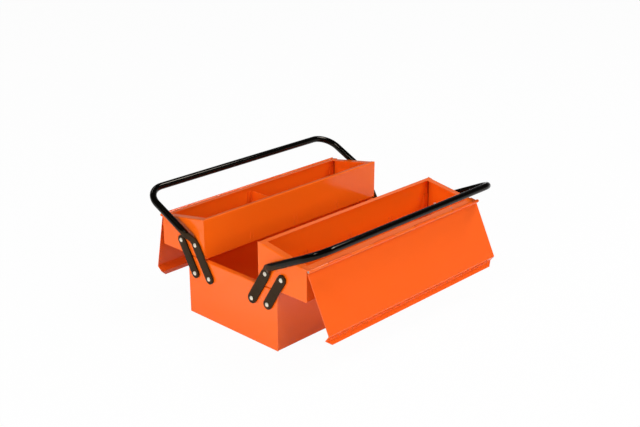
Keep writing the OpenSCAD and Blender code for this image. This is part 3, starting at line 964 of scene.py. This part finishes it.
@dataclass
class PivotSet:
    """The rivets and washers of one body: domed heads outside, washers against the panel, tails inside."""

    body: str
    pivots: Sequence[Point]
    rivet_node: str
    washer_node: str
    linkage: Linkage = LINKAGE
    shank_radius: float = 2.0
    head_radius: float = 3.5
    head_height: float = 2.0
    tail_height: float = 1.2
    tail_soft: tuple[Point, ...] = ((0.0, 0.6), (0.15, 0.2), (0.5, 0.0))
    head_side: float = 0.25
    crown_steps: int = 7
    washer_radius: float = 5.0
    washer_soft: float = 0.25
    washer_play: float = 0.05

    def rivet_profile(self) -> list[Point]:
        """The rivet's outline.

        Returns:
            Its points from the middle of the tail to the top of the head.
        """
        link, wide = self.linkage, self.head_radius
        tail = link.end_x - link.sheet - self.tail_height
        panel = tail + self.tail_height
        head = link.link_x + link.link_thickness + link.gap
        rise = self.head_height - self.head_side
        dome = (wide ** 2 + rise ** 2) / (2 * rise)
        reach = math.degrees(math.asin(wide / dome))
        crown = arc((head + self.head_side + rise - dome, 0.0), dome, reach, 0.0, self.crown_steps)
        rounded = [(tail + along, wide - inward) for along, inward in self.tail_soft]
        return [(tail, 0.0), *rounded, (panel, wide), (panel, self.shank_radius),
                (head, self.shank_radius), (head, wide), *crown[:-1], (head + self.head_height, 0.0)]

    def washer_profile(self) -> list[Point]:
        """The washer's outline, a ring with softened outer corners.

        Returns:
            Its points, as a closed ring.
        """
        start = self.linkage.end_x
        end = start + self.linkage.washer
        hole, outer, soft = self.shank_radius + self.washer_play, self.washer_radius, self.washer_soft
        return [(start, hole), (start, outer - soft), (start + soft, outer),
                (end - soft, outer), (end, outer - soft), (end, hole)]

    def places(self) -> list[Matrix]:
        """Finds the pivots at both ends of the box.

        Returns:
            One place for each pivot, turned so that heads point away from the box.
        """
        here = []
        for end in End:
            for y, z in self.pivots:
                flip = Matrix.Rotation(0.0 if end is End.RIGHT else math.pi, 4, "Z")
                here.append(Matrix.Translation(Vector((0.0, y, z)) * MM) @ flip)
        return here

    def build(self) -> None:
        """Builds one piece of rivets and one of washers."""
        rivets = Piece(f"{self.rivet_node}_domed", self.body, "rivet_steel", RIVET_STEEL,
                       (self.rivet_node,))
        washers = Piece(f"{self.washer_node}_turned", self.body, "washer_finish", LINK_BLACK,
                        (self.washer_node,))
        for place in self.places():
            lathe(rivets.mesh_work, self.rivet_profile(), place)
            lathe(washers.mesh_work, self.washer_profile(), place)
        rivets.make()
        washers.make()


@dataclass
class HingePin:
    """The wire through the knuckles: flush at one end, with a swollen head beyond the other."""

    side: Side
    linkage: Linkage = LINKAGE
    radius: float = 1.74
    head_radius: float = 2.35
    standoff: float = 3.1
    rise: float = 48.6
    round_over: float = 0.35
    overhang: dict[Side, float] = field(default_factory=lambda: {Side.FRONT: 3.5, Side.REAR: 1.6})
    end_share: float = 0.999

    def profile(self) -> list[Point]:
        """The pin's outline.

        Returns:
            Its points from the middle of the flush end to the middle of the head.
        """
        end, soft, out = self.linkage.end_x, self.round_over, self.overhang[self.side]
        return [(-end, 0.0), (-end, self.radius - soft), (soft - end, self.radius), (end, self.radius),
                (end, self.head_radius - soft), (end + soft, self.head_radius),
                (end + out - 2 * soft, self.head_radius), (end + out - soft / 2, self.head_radius - soft),
                (end + out, self.head_radius - 3 * soft), (end + out, 0.0)]

    def build(self) -> None:
        """Builds the pin: a shank coloured dark as painted shade for the knuckle gaps, a painted head and a
        flush end of bare metal.
        """
        name = f"{self.side.word}_hinge_wire"
        link = self.linkage
        # The dark shank finish is painted shade in the knuckle gaps.
        piece = Piece(f"{name}_pin", f"{self.side.word}_tray", "hinge_paint", GAP_SHADE_WIRE, (name,))
        middle = Vector((0.0, self.side.value * (link.tray_outer_w + self.standoff),
                         link.tray_floor_z + self.rise))
        turn = Matrix.Rotation(0.0 if self.side is Side.FRONT else math.pi, 4, "Z")
        lathe(piece.mesh_work, self.profile(), Matrix.Translation(middle * MM) @ turn)
        made = piece.make()
        made.data.materials.append(HINGE_PAINT.build())
        made.data.materials.append(DULL_STEEL.build())
        beyond = link.end_x * MM * self.end_share
        for face in made.data.polygons:
            towards_flush = face.center.x * self.side.value
            if abs(towards_flush) > beyond:
                face.material_index = 1 if towards_flush < 0.0 else 2


@dataclass
class LeafRivets:
    """The flush rivets that hold a hinge leaf on the rim of its tray."""

    side: Side
    linkage: Linkage = LINKAGE
    places_x: tuple[float, float] = (-188.0, 140.0)
    inset: float = 4.5
    radius: float = 1.75
    foot_radius: float = 2.7
    foot: Point = (-2.2, -1.0)
    foot_soft: float = 0.3
    proud: float = 0.1
    face_soft: Point = (0.1, 0.15)
    dimple_radii: Point = (0.9, 0.75)
    dimple_depth: float = 0.08

    def profile(self) -> list[Point]:
        """The rivet's outline.

        Returns:
            Its points from the middle of the foot under the rim to the middle of the face on the leaf.
        """
        low, high = self.foot
        top = self.linkage.sheet + self.proud
        floor = top - self.dimple_depth
        return [(low, 0.0), (low, self.foot_radius - self.foot_soft),
                (low + self.foot_soft, self.foot_radius), (high, self.foot_radius),
                (high, self.radius), (top - self.face_soft[0], self.radius),
                (top, self.radius - self.face_soft[1]), (top, self.dimple_radii[0]),
                (floor, self.dimple_radii[1]), (floor, 0.0)]

    def build(self) -> None:
        """Builds both rivets; in front, one of them has worn to bare metal."""
        link, across = self.linkage, self.side.value
        body, node = f"{self.side.word}_tray", f"{self.side.word}_leaf_rivets"
        piece = Piece(f"{node}_set", body, "rivet_steel", HINGE_PAINT, (node,))
        run = link.roof_run - self.inset
        out, up = math.cos(link.roof_angle), math.sin(link.roof_angle)
        slope = Matrix.Rotation(-across * link.roof_angle, 4, "X")
        turn = slope @ Matrix.Rotation(-math.pi / 2, 4, "Y")
        for x in self.places_x:
            middle = Vector((-x * across, across * (link.tray_inner_w + out * run),
                             link.tray_inner_z - up * run))
            lathe(piece.mesh_work, self.profile(), Matrix.Translation(middle * MM) @ turn)
        made = piece.make()
        made.data.materials.append(DULL_STEEL.build())
        for face in made.data.polygons:
            if self.side is Side.FRONT and face.center.x > 0.0:
                face.material_index = 1


@dataclass
class CornerSeams:
    """Narrow dark strips in a tray's corners where the walls meet the ends: painted shade for the shadow in
    the open seams there.
    """

    side: Side
    linkage: Linkage = LINKAGE
    reach: float = 1.1
    width: float = 2.2
    inner_height: float = 63.5
    outer_height: float = 46.5
    soft: float = 0.5
    soft_steps: int = 2

    def strip(self, work: bmesh.types.BMesh, end: End, start: float, height: float) -> None:
        """Adds one upright strip.

        Args:
            work: the mesh work to add to.
            end: the end of the tray.
            start: the strip's side nearest the middle of the box, in millimetres.
            height: length of the strip, in millimetres.
        """
        link = self.linkage
        made = bmesh.ops.create_cube(work, size=1.0)["verts"]
        bmesh.ops.scale(work, verts=made, vec=Vector((self.reach, self.width, height)) * MM)
        uprights = [e for v in made for e in v.link_edges
                    if abs(e.verts[0].co.z - e.verts[1].co.z) > height * MM / 2]
        middle = Vector((end.value * (link.end_x - link.sheet - self.reach / 2),
                         self.side.value * (start + self.width / 2),
                         link.tray_floor_z + link.sheet + height / 2))
        bmesh.ops.translate(work, verts=made, vec=middle * MM)
        bmesh.ops.bevel(work, geom=list(set(uprights)), offset=self.soft * MM, offset_type="OFFSET",
                        segments=self.soft_steps, profile=0.5, affect="EDGES", material=-1)

    def build(self) -> None:
        """Builds the four strips as one piece."""
        link = self.linkage
        body = f"{self.side.word}_tray"
        # The dark strips are painted shade for the shadow inside the corner seams.
        piece = Piece(f"{body}_corner_seams", body, "tray_paint", SEAM_SHADE)
        outer = link.tray_outer_w - link.sheet - self.width
        inner = link.tray_inner_w + link.sheet
        for end in End:
            self.strip(piece.mesh_work, end, inner, self.inner_height)
            self.strip(piece.mesh_work, end, outer, self.outer_height)
        piece.make()


@dataclass
class PaintedSheet:
    """The nodes of the solid model, and the finish that each one's slot gets."""

    finishes: dict[str, Finish] = field(default_factory=lambda: {
        "base_paint": BASE_PAINT, "tray_paint": TRAY_PAINT, "lid_paint": LID_PAINT,
        "hinge_paint": HINGE_PAINT, "handle_paint": TUBE_ENAMEL, "link_finish": LINK_BLACK,
        "washer_finish": LINK_BLACK, "rivet_steel": RIVET_STEEL,
    })

    def build(self) -> None:
        """Dresses every node with the finish of its slot."""
        for part in frame["record"]["subparts"]:
            node = frame["nodes"][part["node"]]
            finish = self.finishes[part["material_slot"]]
            if not node.material_slots:
                node.data.materials.append(None)
            for slot in node.material_slots:
                slot.material = finish.build()
            LOG.info("%s dressed in %s", node.name, finish.name)


# ---- Studio ----


@dataclass(frozen=True)
class Softbox:
    """A soft rectangular lamp that faces the object."""

    name: str
    azimuth: float
    elevation: float
    size: Point
    power: float
    mirrored: bool = True
    distance: float = 3.0

    def build(self, aim: Vector) -> None:
        """Adds the lamp, in a direction counted clockwise from +Y as seen from above.

        Args:
            aim: the point that it faces, in metres.
        """
        turn, rise = math.radians(self.azimuth), math.radians(self.elevation)
        away = Vector((math.sin(turn) * math.cos(rise), math.cos(turn) * math.cos(rise), math.sin(rise)))
        data = bpy.data.lights.new(self.name, "AREA")
        data.shape, data.size, data.size_y = "RECTANGLE", self.size[0], self.size[1]
        data.energy = self.power
        lamp = bpy.data.objects.new(self.name, data)
        lamp.location = aim + away * self.distance
        lamp.rotation_euler = (-away).to_track_quat("-Z", "Y").to_euler()
        lamp.visible_glossy = self.mirrored
        bpy.context.scene.collection.objects.link(lamp)


@dataclass
class Studio:
    """Floor, soft light and camera."""

    softboxes: Sequence[Softbox] = (
        Softbox("left_fill", -100.0, 12.0, (1.6, 1.0), 61.0, mirrored=False),
        Softbox("front_fill", 178.0, 26.0, (2.0, 1.0), 34.0, mirrored=False),
        Softbox("high_front_fill", 172.0, 46.0, (2.0, 0.9), 10.0, mirrored=False),
        Softbox("right_softbox", 122.0, 56.0, (1.4, 0.6), 38.0),
        Softbox("back_softbox", 12.0, 43.0, (1.4, 0.3), 4.0),
        Softbox("left_softbox", -85.0, 57.0, (0.6, 0.25), 14.0),
        Softbox("rim_softbox", 54.0, 33.5, (1.6, 0.45), 1.3),
    )
    aim: tuple[float, float, float] = (0.0, 0.0, 0.12)
    camera_place: tuple[float, float, float] = (-1.19175, -1.13093, 0.76779)
    camera_azimuth: float = -46.389
    camera_elevation: float = 20.960
    camera_roll: float = 0.042
    focal_pixels: float = 1080.16
    image_width: int = 640
    horizon: float = 0.4
    overhead: float = 0.03
    falloff: float = 6.0
    floor_seen: float = 0.97
    floor_mirrored: float = 0.2
    floor_grey: float = 0.88
    floor_half: float = 12.0
    floor_drop: float = 0.0002
    film_width: float = 36.0
    clip: Point = (0.05, 60.0)

    def world(self) -> None:
        """A room whose light comes from low down; seen directly, its walls are white."""
        world = bpy.data.worlds.new("studio")
        bpy.context.scene.world = world
        world.use_nodes = True
        sheet = NodeSheet(world.node_tree)
        world.node_tree.nodes.clear()
        split = sheet.add("SeparateXYZ")
        sheet.join(sheet.add("TexCoord").outputs["Generated"], split.inputs[0])
        below = sheet.maths("SUBTRACT", 1.0, split.outputs["Z"], clamp=True)
        low = sheet.maths("POWER", below, self.falloff)
        level = sheet.maths("ADD", sheet.maths("MULTIPLY", low, self.horizon), self.overhead)
        level = sheet.maths("MAXIMUM", level, sheet.add("LightPath").outputs["Is Camera Ray"])
        glow = sheet.add("Background", {0: (1.0, 1.0, 1.0, 1.0)})
        sheet.join(level, glow.inputs[1])
        sheet.join(glow.outputs[0], sheet.add("OutputWorld").inputs[0])

    def floor(self) -> None:
        """A wide white floor that shows its own light to the camera, over a matt face with its shadow."""
        material = bpy.data.materials.new("studio_floor")
        material.use_nodes = True
        sheet = NodeSheet(material.node_tree)
        material.node_tree.nodes.clear()
        path = sheet.add("LightPath")
        mirrored = sheet.maths("ADD", path.outputs["Is Glossy Ray"], path.outputs["Is Transmission Ray"],
                               clamp=True)
        seen = sheet.maths("ADD", sheet.maths("MULTIPLY", path.outputs["Is Camera Ray"], self.floor_seen),
                           sheet.maths("MULTIPLY", mirrored, self.floor_mirrored))
        matt = sheet.add("BsdfDiffuse", {0: (*(self.floor_grey,) * 3, 1.0)})
        glow = sheet.add("Emission", {0: (1.0, 1.0, 1.0, 1.0), 1: 1.0})
        mix = sheet.add("MixShader")
        sheet.join(seen, mix.inputs[0])
        sheet.join(matt.outputs[0], mix.inputs[1])
        sheet.join(glow.outputs[0], mix.inputs[2])
        sheet.join(mix.outputs[0], sheet.add("OutputMaterial").inputs[0])
        work = bmesh.new()
        bmesh.ops.create_grid(work, x_segments=2, y_segments=2, size=self.floor_half)
        bmesh.ops.translate(work, verts=work.verts, vec=(0.0, 0.0, -self.floor_drop))
        mesh = bpy.data.meshes.new("floor")
        work.to_mesh(mesh)
        work.free()
        mesh.materials.append(material)
        floor = bpy.data.objects.new("floor", mesh)
        bpy.context.scene.collection.objects.link(floor)

    def camera(self) -> None:
        """The camera, at the fitted place and angle."""
        data = bpy.data.cameras.new("camera")
        data.sensor_width = self.film_width
        data.lens = self.focal_pixels / self.image_width * data.sensor_width
        data.clip_start, data.clip_end = self.clip
        camera = bpy.data.objects.new("camera", data)
        turn, rise = math.radians(self.camera_azimuth), math.radians(self.camera_elevation)
        back = Vector((math.sin(turn) * math.cos(rise), -math.cos(turn) * math.cos(rise), math.sin(rise)))
        roll = Matrix.Rotation(math.radians(self.camera_roll), 3, "Z")
        camera.location = self.camera_place
        camera.rotation_euler = ((-back).to_track_quat("-Z", "Y").to_matrix() @ roll).to_euler()
        bpy.context.scene.collection.objects.link(camera)
        bpy.context.scene.camera = camera

    def build(self) -> None:
        """Sets up the whole studio."""
        self.world()
        self.floor()
        for softbox in self.softboxes:
            softbox.build(Vector(self.aim))
        self.camera()
        bpy.context.scene.view_settings.view_transform = "Standard"


def main() -> None:
    """Builds the studio and every sub-assembly in order."""
    logging.basicConfig(level=logging.INFO, format="%(message)s")
    Studio().build()
    PaintedSheet().build()
    link = LINKAGE
    base_pivots = [(sign * w, link.base_pivot_z) for sign in (-1, 1)
                   for w in (link.base_pivot_w, link.base_pivot_w + link.pivot_spacing)]
    PivotSet("base", base_pivots, "base_rivets", "base_washers").build()
    for side in Side:
        tray = f"{side.word}_tray"
        tray_pivots = [(side.value * w, link.tray_pivot_z)
                       for w in (link.tray_pivot_w, link.tray_pivot_w + link.pivot_spacing)]
        PivotSet(tray, tray_pivots, f"{tray}_rivets", f"{tray}_washers").build()
        Handle(side).build()
        HingePin(side).build()
        LeafRivets(side).build()
        CornerSeams(side).build()
        for end in End:
            OuterLink(side, end).build()


if __name__ == "__main__":
    main()
